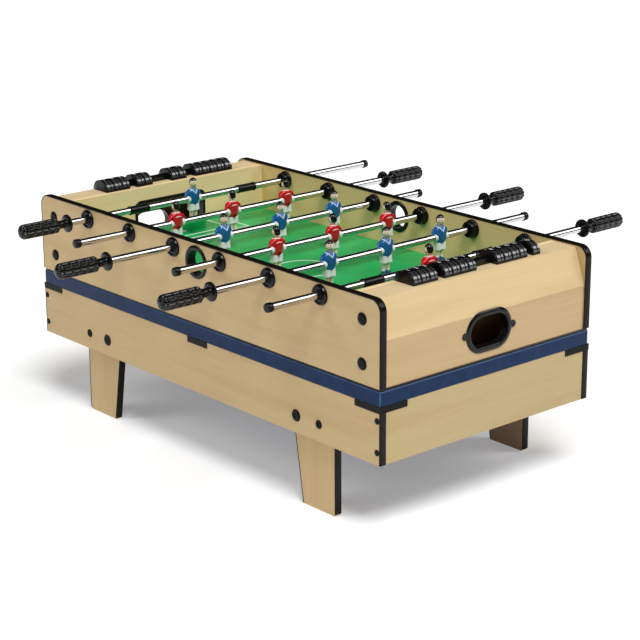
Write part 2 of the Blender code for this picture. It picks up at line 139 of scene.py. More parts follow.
class Look:
    """A Principled material and short calls for the texture nodes that feed it."""

    def __init__(self, name, colour, roughness=0.4, metallic=0.0, coat=0.0, specular=0.5):
        self.material = bpy.data.materials.new(name)
        self.material.use_nodes = True
        self.nodes = self.material.node_tree.nodes
        self.links = self.material.node_tree.links
        self.shader = self.nodes["Principled BSDF"]
        self.shader.inputs["Base Color"].default_value = (*colour, 1.0)
        self.shader.inputs["Roughness"].default_value = roughness
        self.shader.inputs["Metallic"].default_value = metallic
        self.shader.inputs["Specular IOR Level"].default_value = specular
        self.shader.inputs["Coat Weight"].default_value = coat
        self.shader.inputs["Coat Roughness"].default_value = 0.12

    def node(self, kind, **inputs):
        made = self.nodes.new(kind)
        for key, value in inputs.items():
            made.inputs[key.replace("_", " ")].default_value = value
        return made

    def place(self, scale=(1, 1, 1)):
        """Object coordinates, stretched."""
        mapping = self.node("ShaderNodeMapping", Scale=scale)
        source = self.nodes.new("ShaderNodeTexCoord")
        self.links.new(source.outputs["Object"], mapping.inputs["Vector"])
        return mapping.outputs["Vector"]

    def noise(self, scale, stretch=(1, 1, 1), detail=4.0, roughness=0.5):
        made = self.node("ShaderNodeTexNoise", Scale=scale, Detail=detail, Roughness=roughness)
        self.links.new(self.place(stretch), made.inputs["Vector"])
        return made.outputs["Fac"]

    def ramp(self, source, stops):
        made = self.nodes.new("ShaderNodeValToRGB")
        ends = made.color_ramp.elements
        for element, (position, colour) in zip(ends, (stops[0], stops[-1])):
            element.position = position
            element.color = (*colour, 1.0)
        for position, colour in stops[1:-1]:
            ends.new(position).color = (*colour, 1.0)
        self.links.new(source, made.inputs["Fac"])
        return made.outputs["Color"]

    def span(self, source, low, high, start=0.0, end=1.0):
        """The source, read between low and high, as a value between start and end."""
        made = self.nodes.new("ShaderNodeMapRange")
        values = {"From Min": low, "From Max": high, "To Min": start, "To Max": end}
        for key, value in values.items():
            made.inputs[key].default_value = value
        self.links.new(source, made.inputs["Value"])
        return made.outputs["Result"]

    def mix(self, kind, factor, first, second):
        made = self.nodes.new("ShaderNodeMix")
        made.data_type = "RGBA"
        made.blend_type = kind
        for socket, value in ((0, factor), (6, first), (7, second)):
            if isinstance(value, bpy.types.NodeSocket):
                self.links.new(value, made.inputs[socket])
            elif socket:
                made.inputs[socket].default_value = (*value, 1.0)
            else:
                made.inputs[socket].default_value = value
        return made.outputs[2]

    def paint(self, source):
        self.links.new(source, self.shader.inputs["Base Color"])

    def rough(self, source, low, high):
        self.links.new(self.span(source, 0.3, 0.7, low, high), self.shader.inputs["Roughness"])

    def bump(self, source, depth, strength=1.0):
        made = self.node("ShaderNodeBump", Strength=strength, Distance=depth)
        self.links.new(source, made.inputs["Height"])
        self.links.new(made.outputs["Normal"], self.shader.inputs["Normal"])


# Wood tones, each as its light and its dark colour
MAPLE = ((0.595, 0.437, 0.224), (0.528, 0.371, 0.179))
RAW = ((0.360, 0.225, 0.130), (0.240, 0.145, 0.082))
# END: the maple painted a little darker, painted shade on the covers' upright faces
END = ((0.582, 0.415, 0.218), (0.534, 0.373, 0.185))
# BASE_END: the maple painted darker, painted shade on the base's end boards
BASE_END = ((0.537, 0.411, 0.212), (0.493, 0.369, 0.179))
# SLOPE and LEVEL: the maple painted lighter on the covers' slope and lighter still on their shelf, a painted
# highlight for light from above
SLOPE = ((0.740, 0.555, 0.305), (0.680, 0.500, 0.262))
LEVEL = ((0.830, 0.640, 0.375), (0.770, 0.585, 0.330))
# POCKET: the maple painted darker, painted shade on the long walls' inner faces past the goal walls
POCKET = ((0.560, 0.400, 0.190), (0.500, 0.350, 0.160))
# INNER: the maple painted lighter, painted light on the long walls' inner faces over the field
INNER = ((1.000, 0.690, 0.345), (0.960, 0.630, 0.290))
# GOAL: the maple painted lighter, painted light on the goal walls' faces toward the field
GOAL = ((1.000, 0.760, 0.430), (1.000, 0.720, 0.390))

STREAK_ALONG, STREAK_ACROSS = 9.0, 420.0
FIGURE_ALONG, FIGURE_ACROSS = 2.2, 26.0
FACE_DEPTH = 0.0004


def grain_stretch(axis, along, across):
    return tuple(along if letter == axis else across for letter in "XYZ")


def satin_board(name, light, axis):
    """A board's material without its colour yet, and the fine streaks that all its layers share."""
    look = Look(name, light, roughness=0.42, specular=0.25)
    streak = look.noise(1.0, grain_stretch(axis, STREAK_ALONG, STREAK_ACROSS), detail=5.0, roughness=0.6)
    return look, streak


def finish_board(look, streak, wood):
    look.paint(wood)
    look.rough(streak, 0.38, 0.50)
    look.bump(streak, 0.00006)
    return look.material


def wood_grain(look, axis, tones, streak):
    """Broad soft figure along an axis, darkened by fine streaks."""
    light, dark = tones
    middle = tuple(0.5 * (a + b) for a, b in zip(light, dark))
    broad = look.noise(1.0, grain_stretch(axis, FIGURE_ALONG, FIGURE_ACROSS), detail=3.0)
    figure = look.ramp(broad, [(0.30, dark), (0.52, light), (0.74, middle)])
    fine = look.ramp(streak, [(0.36, (0.86, 0.84, 0.80)), (0.60, (1.0, 1.0, 1.0))])
    return look.mix("MULTIPLY", 0.30, figure, fine)


def fibreboard(look):
    return look.ramp(look.noise(900.0, detail=6.0), [(0.35, RAW[1]), (0.65, RAW[0])])


def inner_wall(look, axis, streak, split):
    """Inside the long walls: the maple painted lighter over the field as painted light, and painted shade
    past the goal walls.
    """
    playing_lit, pocket_shade = (wood_grain(look, axis, tones, streak) for tones in (INNER, POCKET))
    size = look.nodes.new("ShaderNodeMath")
    size.operation = "ABSOLUTE"
    look.links.new(split.outputs["X"], size.inputs[0])
    past = look.span(size.outputs["Value"], WALL_LOW.x, WALL_LOW.x + 0.001)
    return look.mix("MIX", past, playing_lit, pocket_shade)


def maple(name, axis, tones=MAPLE, back=None, raw=True):
    """Satin maple laminate with its grain along an axis. back is (letter, level, sign): past that
    level the board shows raw brown fibreboard, or the inside walls' maple with its painted light and shade."""
    look, streak = satin_board(name, tones[0], axis)
    wood = wood_grain(look, axis, tones, streak)
    if back:
        letter, level, sign = back
        split = look.nodes.new("ShaderNodeSeparateXYZ")
        look.links.new(look.place(), split.inputs["Vector"])
        past = look.span(split.outputs[letter], level - sign * 2e-4, level + sign * 2e-4)
        other = fibreboard(look) if raw else inner_wall(look, axis, streak, split)
        wood = look.mix("MIX", past, wood, other)
    return finish_board(look, streak, wood)


def cover_maple(name, axis, sign):
    """End cover: laminate outside with painted light, picked by which way each face turns: its upright faces
    a little darker, its slope lighter and its shelf lighter still; raw board behind.
    """
    look, streak = satin_board(name, MAPLE[0], axis)
    surface = look.nodes.new("ShaderNodeNewGeometry")
    split = look.nodes.new("ShaderNodeSeparateXYZ")
    look.links.new(surface.outputs["Normal"], split.inputs["Vector"])
    # Painted light: upright faces take the darker tone, the slope and the shelf the lighter ones
    upright, lit_slope, level = (wood_grain(look, axis, tones, streak) for tones in (END, SLOPE, LEVEL))
    lit_top = look.mix("MIX", look.span(split.outputs["Z"], 0.94, 0.98), lit_slope, level)
    wood = look.mix("MIX", look.span(split.outputs["Z"], 0.05, 0.25), upright, lit_top)
    outward = look.nodes.new("ShaderNodeVectorMath")
    outward.operation = "DOT_PRODUCT"
    outward.inputs[1].default_value = (sign * 0.4, 0.0, 0.92)
    look.links.new(surface.outputs["Normal"], outward.inputs[0])
    shown = look.span(outward.outputs["Value"], 0.02, 0.10)
    return finish_board(look, streak, look.mix("MIX", shown, fibreboard(look), wood))


def raw_board():
    look = Look("raw_board", RAW[0], roughness=0.75)
    look.paint(fibreboard(look))
    look.bump(look.noise(900.0, detail=6.0), 0.0001)
    return look.material


def laminate(name, dark, light, roughness, specular):
    """Printed paper under a clear film: a faint mottle and a little orange peel."""
    look = Look(name, light, roughness=roughness, specular=specular)
    mottle = look.noise(60.0, detail=5.0)
    peel = look.noise(1400.0, detail=2.0)
    look.paint(look.ramp(mottle, [(0.32, dark), (0.68, light)]))
    look.rough(mottle, roughness - 0.05, roughness + 0.07)
    look.bump(peel, 0.00003)
    return look.material


def field_green():
    """Green print, lighter and darker in soft patches, under a satin film."""
    look = Look("field_green", (0.035, 0.36, 0.085), roughness=0.24, specular=0.20)
    patches = look.noise(7.0, detail=3.0)
    blades = look.noise(1.0, (900.0, 240.0, 900.0), detail=4.0)
    greens = [(0.30, (0.003, 0.305, 0.067)), (0.50, (0.007, 0.425, 0.106)), (0.72, (0.026, 0.550, 0.158))]
    grass = look.ramp(patches, greens)
    speck = look.ramp(blades, [(0.35, (0.84, 0.86, 0.84)), (0.65, (1.0, 1.0, 1.0))])
    look.paint(look.mix("MULTIPLY", 0.6, grass, speck))
    look.rough(blades, 0.26, 0.36)
    look.bump(blades, 0.00003)
    return look.material


def plastic(name, colour, roughness=0.35, coat=0.0, texture=700.0, depth=0.00004, shade=0.75, specular=0.5):
    """Moulded plastic: slight shade changes and a fine spark-eroded texture."""
    look = Look(name, colour, roughness=roughness, coat=coat, specular=specular)
    cloud = look.noise(45.0, detail=3.0)
    grit = look.noise(texture, detail=3.0)
    darker = tuple(shade * c for c in colour)
    look.paint(look.ramp(cloud, [(0.30, darker), (0.70, colour)]))
    look.rough(grit, roughness - 0.05, roughness + 0.08)
    look.bump(grit, depth)
    return look.material


def chrome():
    """Polished tube with very fine drawing marks along its length and faint handling haze."""
    look = Look("chrome", (0.66, 0.66, 0.67), roughness=0.15, metallic=1.0)
    drawn = look.noise(1.0, (1500.0, 30.0, 1500.0), detail=3.0)
    haze = look.noise(30.0, detail=4.0)
    look.paint(look.ramp(haze, [(0.35, (0.62, 0.62, 0.625)), (0.65, (0.72, 0.72, 0.73))]))
    look.rough(haze, 0.13, 0.19)
    look.bump(drawn, 0.000012)
    return look.material


# Mesh building


def clamp(value):
    return max(0.0, min(1.0, value))


def smooth_step(value, low, high):
    t = clamp((value - low) / (high - low))
    return t * t * (3 - 2 * t)


def skin(shape, rings, slot=0, closed=False, caps=True):
    """Faces between rings of points. closed joins the last ring to the first."""
    rows = [[shape.verts.new(point) for point in ring] for ring in rings]
    pairs = list(zip(rows, rows[1:]))
    if closed:
        pairs.append((rows[-1], rows[0]))
    count = len(rows[0])
    for first, second in pairs:
        for i in range(count):
            j = (i + 1) % count
            face = shape.faces.new((first[i], first[j], second[j], second[i]))
            face.material_index = slot
    if caps and not closed:
        for row in (rows[0][::-1], rows[-1]):
            shape.faces.new(row).material_index = slot
    return rows


def round_angles(steps):
    return [2 * math.pi * i / steps for i in range(steps)]


def lathe(shape, profile, slot=0, closed=False, steps=48, centre=(0.0, 0.0, 0.0)):
    """A turned shape about local Z. The profile holds (radius, height) in metres."""
    rings = []
    for radius, height in profile:
        ring = [(radius * math.cos(a), radius * math.sin(a), height) for a in round_angles(steps)]
        rings.append([Vector(centre) + Vector(point) for point in ring])
    skin(shape, rings, slot, closed, caps=False)


def arc(centre, radius, start, end, steps):
    """Points of an arc, angles in degrees, both ends included."""
    angles = [math.radians(start + (end - start) * i / steps) for i in range(steps + 1)]
    return [(centre[0] + radius * math.cos(a), centre[1] + radius * math.sin(a)) for a in angles]


def stadium(width, height, steps=16):
    straight = (width - height) / 2
    right = arc((straight, 0), height / 2, -90, 90, steps)
    return right + arc((-straight, 0), height / 2, 90, 270, steps)


def rounded_rectangle(half_u, half_v, radius, steps=6):
    points = []
    for sign_u, sign_v, start in ((1, 1, 0), (-1, 1, 90), (-1, -1, 180), (1, -1, 270)):
        centre = (sign_u * (half_u - radius), sign_v * (half_v - radius))
        points += arc(centre, radius, start, start + 90, steps)
    return points


def mitres(path, closed):
    """The outward direction at each point of a flat path that runs anticlockwise, long enough to
    keep a swept strip's width at a corner."""
    count = len(path)
    found = []
    for i in range(count):
        normals = []
        for a, b in ((i - 1, i), (i, i + 1)):
            if closed or 0 <= a and b < count:
                step = (Vector(path[b % count]) - Vector(path[a])).normalized()
                normals.append(Vector((step.y, -step.x)))
        middle = sum(normals, Vector((0, 0))).normalized()
        found.append(middle / middle.dot(normals[0]))
    return found


def sweep(shape, path, section, slot=0, closed=False):
    """A strip along a flat path in local XY. The section holds (outwards, along local Z)."""
    rings = []
    for here, out in zip(path, mitres(path, closed)):
        rings.append([(here[0] + out.x * u, here[1] + out.y * u, w) for u, w in section])
    skin(shape, rings, slot, closed)


def prism(shape, outline, low, high, bevel=0.0, slot=0, bevel_slot=None):
    """A solid slab of an anticlockwise outline between two heights, with chamfered rims."""
    out = mitres(outline, True)
    levels = [(low, bevel), (low + bevel, 0.0), (high - bevel, 0.0), (high, bevel)]
    if not bevel:
        levels = [(low, 0.0), (high, 0.0)]
    rings = []
    for z, inset in levels:
        rings.append([(p[0] - o.x * inset, p[1] - o.y * inset, z) for p, o in zip(outline, out)])
    rows = skin(shape, rings, slot)
    if bevel_slot is not None:
        corner = {vert for row in (rows[0], rows[-1]) for vert in row}
        for face in shape.faces:
            if len(face.verts) == 4 and any(vert in corner for vert in face.verts):
                face.material_index = bevel_slot


def tube(shape, points, radii, slot=0, steps=14, flat=1.0):
    """A round limb through points. flat squeezes its section across the path's own plane."""
    places = [Vector(p) for p in points]
    rings = []
    for i, (place, radius) in enumerate(zip(places, radii)):
        ahead = places[min(i + 1, len(places) - 1)] - places[max(i - 1, 0)]
        turn = Z.rotation_difference(ahead.normalized())
        ring = []
        for a in round_angles(steps):
            ring.append(place + turn @ Vector((radius * math.cos(a), radius * flat * math.sin(a), 0)))
        rings.append(ring)
    skin(shape, rings, slot)


def ball(shape, centre, half, slot=0, steps=16, reach=None):
    """An egg shape. reach(direction) scales the distance to the surface."""
    rings = []
    for i in range(steps // 2 + 1):
        tilt = -math.pi / 2 + math.pi * i / (steps // 2)
        ring = []
        for a in round_angles(steps):
            way = Vector((math.cos(a) * math.cos(tilt), math.sin(a) * math.cos(tilt), math.sin(tilt)))
            size = reach(way) if reach else 1.0
            ring.append(Vector([c + h * w * size for c, h, w in zip(centre, half, way)]))
        rings.append(ring)
    skin(shape, rings, slot, caps=False)


def make_mesh(name, shape, materials, scale=1.0):
    bmesh.ops.remove_doubles(shape, verts=shape.verts, dist=1e-7 / scale)
    bmesh.ops.recalc_face_normals(shape, faces=shape.faces)
    bmesh.ops.scale(shape, vec=(scale, scale, scale), verts=shape.verts)
    mesh = bpy.data.meshes.new(name)
    shape.to_mesh(mesh)
    shape.free()
    for material in materials:
        mesh.materials.append(material)
    mesh.shade_smooth()
    mesh.set_sharp_from_angle(angle=SMOOTH_ANGLE)
    return mesh


def place_object(name, data):
    obj = bpy.data.objects.new(name, data)
    bpy.context.scene.collection.objects.link(obj)
    return obj


def piece(name, mesh, body="table", slot="black_plastic", at=(0, 0, 0), turn=None, replaces=()):
    """A named piece that rides on a CAD body. turn is a rotation matrix or quaternion."""
    obj = place_object(name, mesh)
    rotation = turn.to_matrix() if hasattr(turn, "to_matrix") else turn or Matrix.Identity(3)
    obj.matrix_world = Matrix.Translation(at) @ rotation.to_4x4()
    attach(obj, body)
    if replaces:
        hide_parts(*replaces)
    return obj


def show(name, shape, materials, **rides):
    return piece(name, make_mesh(name, shape, materials), **rides)


def swept_piece(name, path, section, material, **rides):
    shape = bmesh.new()
    sweep(shape, path, section)
    return show(name, shape, [material], **rides)


def facing(direction):
    """Turns local Z to a direction, with local Y kept as near to up as it can be."""
    across = Vector(direction).normalized()
    right = Z.cross(across).normalized()
    return Matrix((right, Z, across)).transposed()


# Boards


def paint_boards():
    """Better finishes for the boards whose CAD shape is the shown shape."""
    coats = {}
    for side, sign in SIDES.items():
        hidden = ("Y", sign * (HALF_WIDTH - BOARD + FACE_DEPTH), -sign)
        coats[f"base_side_{side}"] = maple(f"maple_base_{side}", "X", back=hidden)
        # Inner faces take painted light over the field and painted shade past the goal walls
        coats[f"top_side_{side}"] = maple(f"maple_top_{side}", "X", back=hidden, raw=False)
        hidden = ("Y", sign * (HALF_WIDTH - 2 * BOARD + FACE_DEPTH), -sign)
        for end in ENDS:
            coats[f"leg_{side}_{end}"] = maple(f"maple_leg_{side}_{end}", "Z", back=hidden)
    for end, sign in ENDS.items():
        hidden = ("X", sign * (HALF_LENGTH - BOARD + FACE_DEPTH), -sign)
        # Painted shade: the base's end boards take a darker copy of the maple
        coats[f"base_end_{end}"] = maple(f"maple_base_end_{end}", "Y", BASE_END, hidden)
        coats[f"end_cover_{end}"] = cover_maple(f"maple_cover_{end}", "Y", sign)
        hidden = ("X", sign * (WALL_HIGH.x - FACE_DEPTH), sign)
        # Painted light: the goal walls' field faces take a lighter copy of the maple
        coats[f"goal_wall_{end}"] = maple(f"maple_goal_{end}", "Y", GOAL, hidden)
    coats["play_field"] = field_green()
    for node, material in coats.items():
        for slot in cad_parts[node].material_slots:
            slot.material = material


def edging(name, path, across, turn, material):
    """T-moulding over a board's edge: a low dome with small laps on both faces."""
    half = BOARD / 2 + EDGING_LAP
    section = [
        (-EDGING_DEPTH, -half), (0.0001, -half), (EDGING_PROUD * 0.75, -half + 0.0012),
        (EDGING_PROUD, -half + 0.0035), (EDGING_PROUD, half - 0.0035),
        (EDGING_PROUD * 0.75, half - 0.0012), (0.0001, half), (-EDGING_DEPTH, half),
    ]
    return swept_piece(name, path, section, material, at=across, turn=turn)


def board_edges(material):
    """Black edging: round the top panels, on the base's upright corners and on the legs."""
    corner = (HALF_LENGTH - SIDE_CORNER, TOP_HIGH.z - SIDE_CORNER)
    over = [(HALF_LENGTH, TOP_LOW.z)]
    over += arc(corner, SIDE_CORNER, 0, 90, 12)
    over += arc((-corner[0], corner[1]), SIDE_CORNER, 90, 180, 12)
    over.append((-HALF_LENGTH, TOP_LOW.z))
    upright = Matrix((X, Z, -Y)).transposed()
    for side, sign in SIDES.items():
        middle = sign * (HALF_WIDTH - BOARD / 2)
        edging(f"top_edging_{side}", over, (0, middle, 0), upright, material)
        for end, way in ENDS.items():
            line = [(way * HALF_LENGTH, BASE_LOW.z), (way * HALF_LENGTH, BASE_HIGH.z)][::way]
            edging(f"base_edging_{side}_{end}", line, (0, middle, 0), upright, material)
            leg_edges(side, end, way, upright, material)


def leg_edges(side, end, way, upright, material):
    """Edging down a leg's two narrow faces; the inner one follows the taper."""
    low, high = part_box(f"leg_{side}_{end}")
    middle = (low.y + high.y) / 2
    outer, inner = (low.x, high.x) if way < 0 else (high.x, low.x)
    chamfer, foot_taper, clear = 0.003, 0.0185, 0.0012
    outside = [(outer, chamfer), (outer, BASE_LOW.z - clear)][::way]
    inside = [(inner + way * foot_taper, clear), (inner, BASE_LOW.z - clear)][::-way]
    edging(f"leg_edging_{side}_{end}_outer", outside, (0, middle, 0), upright, material)
    edging(f"leg_edging_{side}_{end}_inner", inside, (0, middle, 0), upright, material)


# Painted highlight: faces this close to both sides of a corner, and turned past the start, take the lighter
# blue
HIGHLIGHT_CORNER = 0.0028
HIGHLIGHT_START = 0.0006


def middle_band(navy, navy_highlight, black, raw):
    """The navy board with a painted highlight, a lighter blue on its chamfered rims and round its corners,
    and the black shadow strip that stands on it.
    """
    shape = bmesh.new()
    half_x, half_y = BAND_HIGH.x, BAND_HIGH.y
    outline = rounded_rectangle(half_x, half_y, BAND_CORNER, steps=8)
    low, high = BAND_LOW.z, BAND_LOW.z + BAND_HEIGHT
    prism(shape, outline, low, high, BAND_BEVEL, bevel_slot=1)
    for face in shape.faces:
        middle = face.calc_center_median()
        turned = min(abs(half_x - abs(middle.x)), abs(half_y - abs(middle.y)))
        on_corner = half_x - abs(middle.x) < HIGHLIGHT_CORNER and half_y - abs(middle.y) < HIGHLIGHT_CORNER
        if on_corner and turned > HIGHLIGHT_START:
            face.material_index = 1
    show("navy_band", shape, [navy, navy_highlight], slot="navy_laminate", replaces=["middle_board"])
    shape = bmesh.new()
    inner = rounded_rectangle(half_x - STRIP_INSET, half_y - STRIP_INSET, 0.002, steps=3)
    prism(shape, inner, high - 0.0005, BAND_HIGH.z)
    for face in shape.faces:
        if len(face.verts) > 4:
            face.material_index = 1
    show("shadow_strip", shape, [black, raw])


# Field print

LINE_WIDTH = 0.0034
INK_DEPTH = 0.00012
CIRCLE_RADIUS = 0.050
CENTRE_SPOT = 0.005
PENALTY_SPOT = (0.322, 0.004)

# Lines of the two boxes before each goal, as (distance of the front line, half width)
GOAL_BOXES = ((0.294, 0.0785), (0.2745, 0.1080))


def full_circle(centre, radius, steps):
    return arc(centre, radius, 0, 360, steps)[:-1]


def strip(shape, low, high, z, thick):
    prism(shape, [(low[0], low[1]), (high[0], low[1]), (high[0], high[1]), (low[0], high[1])], z, z + thick)


def field_print(white):
    """Pitch lines as a thin film of white ink on the green board."""
    shape = bmesh.new()
    line, ink = LINE_WIDTH, INK_DEPTH
    z = FIELD_HIGH.z + 0.00005
    centre_x = (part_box("rod_3")[0].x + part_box("rod_4")[1].x) / 2
    reach_x, reach_y = FIELD_HIGH.x - 0.004, FIELD_HIGH.y - 0.006
    strip(shape, (centre_x - line / 2, -reach_y), (centre_x + line / 2, reach_y), z, ink)
    circle = full_circle((centre_x, 0), CIRCLE_RADIUS - line / 2, 72)
    section = [(0, z), (line, z), (line, z + ink), (0, z + ink)]
    sweep(shape, circle, section, closed=True)
    prism(shape, full_circle((centre_x, 0), CENTRE_SPOT, 24), z + ink, z + 2 * ink)
    spot_x, spot_radius = PENALTY_SPOT
    for way in ENDS.values():
        for front, half in GOAL_BOXES:
            path = [(way * reach_x, -way * half), (way * front, -way * half)]
            path += [(way * front, way * half), (way * reach_x, way * half)]
            rail = [(-line / 2, z), (line / 2, z), (line / 2, z + ink), (-line / 2, z + ink)]
            sweep(shape, path, rail)
        prism(shape, full_circle((way * spot_x, 0), spot_radius, 20), z, z + ink)
    show("pitch_lines", shape, [white], slot="printed_field")


# Fittings on the cabinet


def turned_piece(name, profile, material, at, direction, steps=48, closed=False, **rides):
    """A turned piece; the profile is (radius, distance along direction), in millimetres."""
    shape = bmesh.new()
    lathe(shape, [(r * MM, h * MM) for r, h in profile], closed=closed, steps=steps)
    turn = Z.rotation_difference(Vector(direction))
    return show(name, shape, [material], at=at, turn=turn, **rides)


# Cap and bolt heads, as (radius, height) in millimetres
PANEL_CAP = [
    (0, 1.7), (2.0, 1.7), (2.5, 2.5), (5.0, 2.8), (7.6, 2.1), (9.2, 1.0), (9.75, 0.3), (9.75, 0.0),
    (0, 0),
]
BASE_CAP = [(0, 0.5), (1.6, 0.5), (2.0, 1.1), (3.8, 1.2), (4.8, 0.7), (5.0, 0.2), (5.0, 0.0), (0, 0)]
SMALL_BOLT = [(0, 0.5), (2.3, 0.5), (2.7, 1.7), (4.6, 1.9), (6.4, 1.2), (7.0, 0.4), (7.0, 0.0), (0, 0)]
LARGE_BOLT = [
    (0, 0.9), (3.0, 0.9), (3.4, 2.0), (5.6, 2.2), (5.9, 1.2), (9.2, 0.9), (9.8, 0.3), (9.8, 0.0),
    (0, 0),
]

# Each kind of cap: name, head, distance from the table's middle along X, and level
CAP_PLACES = [
    ("panel_cap_high", PANEL_CAP, 0.3965, 0.3340),
    ("panel_cap_low", PANEL_CAP, 0.3965, 0.2660),
    ("base_cap_high", BASE_CAP, 0.4290, 0.1865),
    ("base_cap_low", BASE_CAP, 0.4290, 0.1376),
    ("leg_bolt_outer", SMALL_BOLT, 0.3005, 0.1460),
    ("leg_bolt_inner", LARGE_BOLT, 0.2480, 0.1460),
]


def screw_caps(material):
    """Domed caps on the top panels, small caps on the base's corners, bolts into the legs."""
    for side, sign in SIDES.items():
        face = sign * HALF_WIDTH
        for end, way in ENDS.items():
            for kind, profile, x, z in CAP_PLACES:
                name = f"{kind}_{side}_{end}"
                at = (way * x, face, z)
                turned_piece(name, profile, material, at, (0, sign, 0), steps=32)


BRACKET_THICK = 0.0008
BRACKET_ARM = 0.054
BRACKET_FOOT = 0.1985
SIDE_BRACKET = (-0.021, 0.030)


def brackets(material):
    """Thin black angle plates under the navy board: one at each corner, one mid-way on each side."""
    thick, arm, low, high = BRACKET_THICK, BRACKET_ARM, BRACKET_FOOT, BAND_LOW.z
    section = [(0.0, low), (thick * 0.4, low), (thick, low + 0.0006), (thick, high), (0.0, high)]
    for side, sign in SIDES.items():
        for end, way in ENDS.items():
            x, y = way * HALF_LENGTH, sign * HALF_WIDTH
            path = [(x - way * arm, y), (x, y), (x, y - sign * arm)][:: -way * sign]
            swept_piece(f"corner_bracket_{side}_{end}", path, section, material)
        path = [(x, sign * HALF_WIDTH) for x in SIDE_BRACKET][:: -sign]
        swept_piece(f"side_bracket_{side}", path, section, material)


def serving_rings(material):
    """A flanged ring on each face of each long panel, meeting inside the serving hole."""
    centre_x = (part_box("bearing_3_near")[0].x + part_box("bearing_4_near")[1].x) / 2
    z = TOP_HIGH.z - SERVING_DROP
    clear, wall, width, half_board = 0.2, 0.7, 6.5, BOARD / MM / 2
    hole = SERVING_RADIUS / MM - clear
    profile = [
        (hole - wall, -half_board + 0.1), (hole - wall, 1.6), (hole + 0.2, 2.5), (hole + 2.4, 2.9),
        (hole + width - 1.4, 2.4), (hole + width - 0.2, 1.3), (hole + width, 0.1), (hole, 0.1),
        (hole, -half_board + 0.1),
    ]
    for side, sign in SIDES.items():
        for face, out in (("outer", sign), ("inner", -sign)):
            y = sign * (HALF_WIDTH - (0 if face == "outer" else BOARD))
            name = f"serving_ring_{side}_{face}"
            at = (centre_x, y, z)
            turned_piece(name, profile, material, at, (0, out, 0), steps=72, closed=True)


def goal_liners(material):
    """Black frame round each goal mouth, lining its jambs and lintel."""
    inset, radius, lap, proud = 0.0020, 0.006, 0.0056, 0.0018
    half, top = MOUTH_HALF_WIDTH - inset, FIELD_HIGH.z + MOUTH_HEIGHT - inset
    low = FIELD_HIGH.z + 0.0002
    path = [(half, low)]
    path += arc((half - radius, top - radius), radius, 0, 90, 6)
    path += arc((-half + radius, top - radius), radius, 90, 180, 6)
    path.append((-half, low))
    back = -BOARD - 0.0004
    section = [(0, back), (0, proud - 0.0006), (0.0006, proud), (lap - 0.0008, proud), (lap, proud - 0.0008)]
    section += [(lap, 0.0001), (inset - 0.0002, 0.0001), (inset - 0.0002, back)]
    for end, way in ENDS.items():
        at, turn = (way * WALL_LOW.x, 0, 0), facing((-way, 0, 0))
        swept_piece(f"goal_liner_{end}", path, section, material, at=at, turn=turn)


EAR_SCREW = [(0, 1.2), (0.9, 1.2), (1.1, 2.0), (2.0, 2.1), (2.7, 1.4), (2.8, 0.6), (0, 0.6)]


def return_rings(material):
    """Rolled stadium rings with two screw ears, through the end covers."""
    depth, proud, reach = 0.0117, 0.0028, 0.0088
    ear_reach, ear_radius = 0.0022, 0.0058
    section = [
        (0.0, -depth), (0.0, proud - 0.0012), (0.0008, proud - 0.0003), (0.0022, proud),
        (reach - 0.0034, proud - 0.0002), (reach - 0.0012, proud - 0.0010), (reach, 0.0004),
        (reach, 0.0001), (0.0027, 0.0001), (0.0027, -depth),
    ]
    face = COVER_HIGH.x
    for end, way in ENDS.items():
        shape = bmesh.new()
        sweep(shape, stadium(*RETURN_OPENING), section, closed=True)
        ear_out = RETURN_OPENING[0] / 2 + reach + ear_reach
        for sign in (-1, 1):
            ear = [(sign * ear_out + x, y) for x, y in full_circle((0, 0), ear_radius, 24)]
            prism(shape, ear, 0.0001, 0.0018, bevel=0.0005)
        name = f"return_ring_shown_{end}"
        at = (way * face, 0, RING_LEVEL)
        show(name, shape, [material], at=at, turn=facing((way, 0, 0)), replaces=[f"return_ring_{end}"])
        for side, sign in SIDES.items():
            spot = (way * (face + FACE_DEPTH), sign * ear_out, RING_LEVEL)
            name = f"ear_screw_{end}_{side}"
            turned_piece(name, EAR_SCREW, material, spot, (way, 0, 0), steps=20)


# Score counters

BEAD_LENGTH = 0.0166
BEAD_HALF = 0.021
BEAD_RISE = 0.0140
BEAD_SKIRT = 0.0050
BEAD_PITCH = 0.017
BEAD_FOOT = 0.0004
BEAD_STEPS = 28
BEAD_CURVE = 0.86
DIGIT_HALF_WIDTH = 0.008
BAR_HALF = 0.0071
BAR_TOP = 0.0092

# Grooves between the ribs lie on a bead's shoulders: degrees from its top, and a share of its size
SADDLE_START, SADDLE_END, SADDLE_FADE = 24, 84, 6
SADDLE_DEPTH = 0.075

# Ribs along a bead, in millimetres from its edge
RIBS = ((1.9, 8.4), (10.7, 14.3))
RIB_SLOPE = 0.35


def rib_height(along):
    """One on a rib and zero between ribs; along is in millimetres from the bead's edge."""
    inside = max(min(along - start, end - along) for start, end in RIBS)
    return clamp(inside / RIB_SLOPE + 1.0)


def bead_stations():
    stops = [0.0, 0.45, 1.0, 15.6, 16.15, 16.6]
    for start, end in RIBS:
        stops += [start - RIB_SLOPE, start, start + 0.3, end - 0.3, end, end + RIB_SLOPE]
    return sorted(stops)


